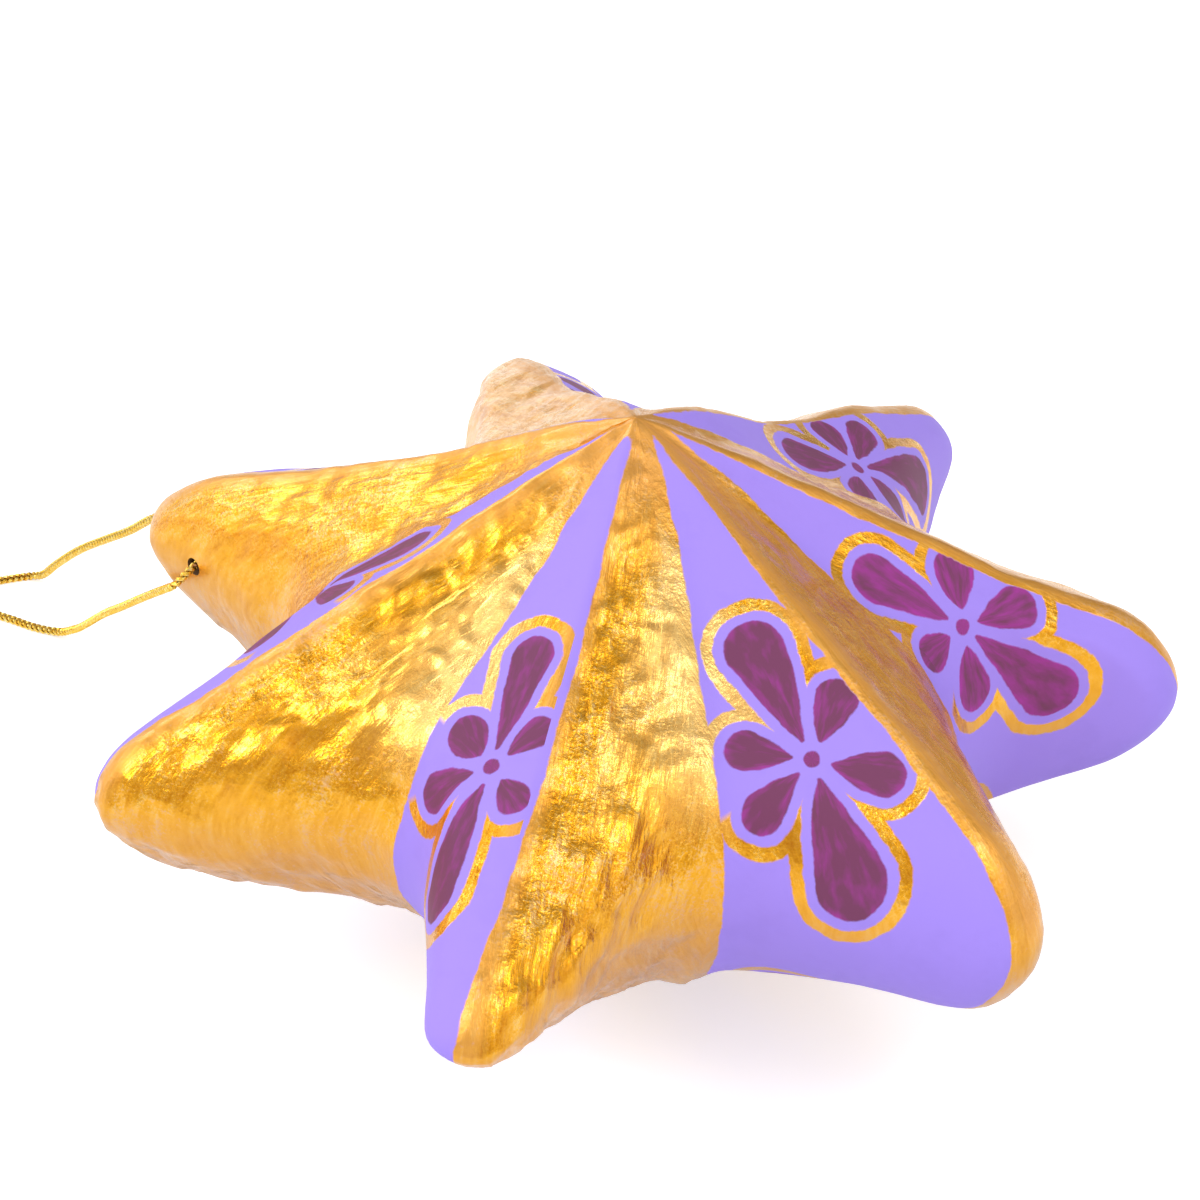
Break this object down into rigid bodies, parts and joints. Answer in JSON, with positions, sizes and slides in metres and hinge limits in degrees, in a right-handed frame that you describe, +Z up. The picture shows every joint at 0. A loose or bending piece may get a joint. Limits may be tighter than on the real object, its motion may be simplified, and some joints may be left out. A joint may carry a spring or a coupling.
{
  "type": "papier mache star ornament",
  "caption": "Puffy double-sided paper star ornament with ridged arms, resting on its lower crown, with a knotted cord loop through a hole in one tip for hanging.",
  "frame": {"origin": "centre of the small flat on the lower crown, where the star stands on a table", "axes": "+Z up through both crowns, +X to the right in a view along +Y, with the cord loop towards -X"},
  "size_m": [0.1843, 0.1315, 0.0686],
  "materials": {
    "lilac_paint": "satin paint over paper",
    "gold_paint": "metallic paint over paper",
    "gold_cord": "metallic braided thread"
  },
  "bodies": {
    "star": {"front_shell": "lilac_paint", "back_shell": "lilac_paint", "joint_strip": "gold_paint"},
    "loop": {"hanging_cord": "gold_cord", "cord_knot": "gold_cord"}
  },
  "joints": [
    {"name": "loop_swing", "type": "hinge", "parent": "star", "child": "loop", "pos_m": [-0.04975, 0.02482, 0.0342], "axis": [0.4464, 0.8948, 0], "range_deg": [0, 120]}
  ]
}
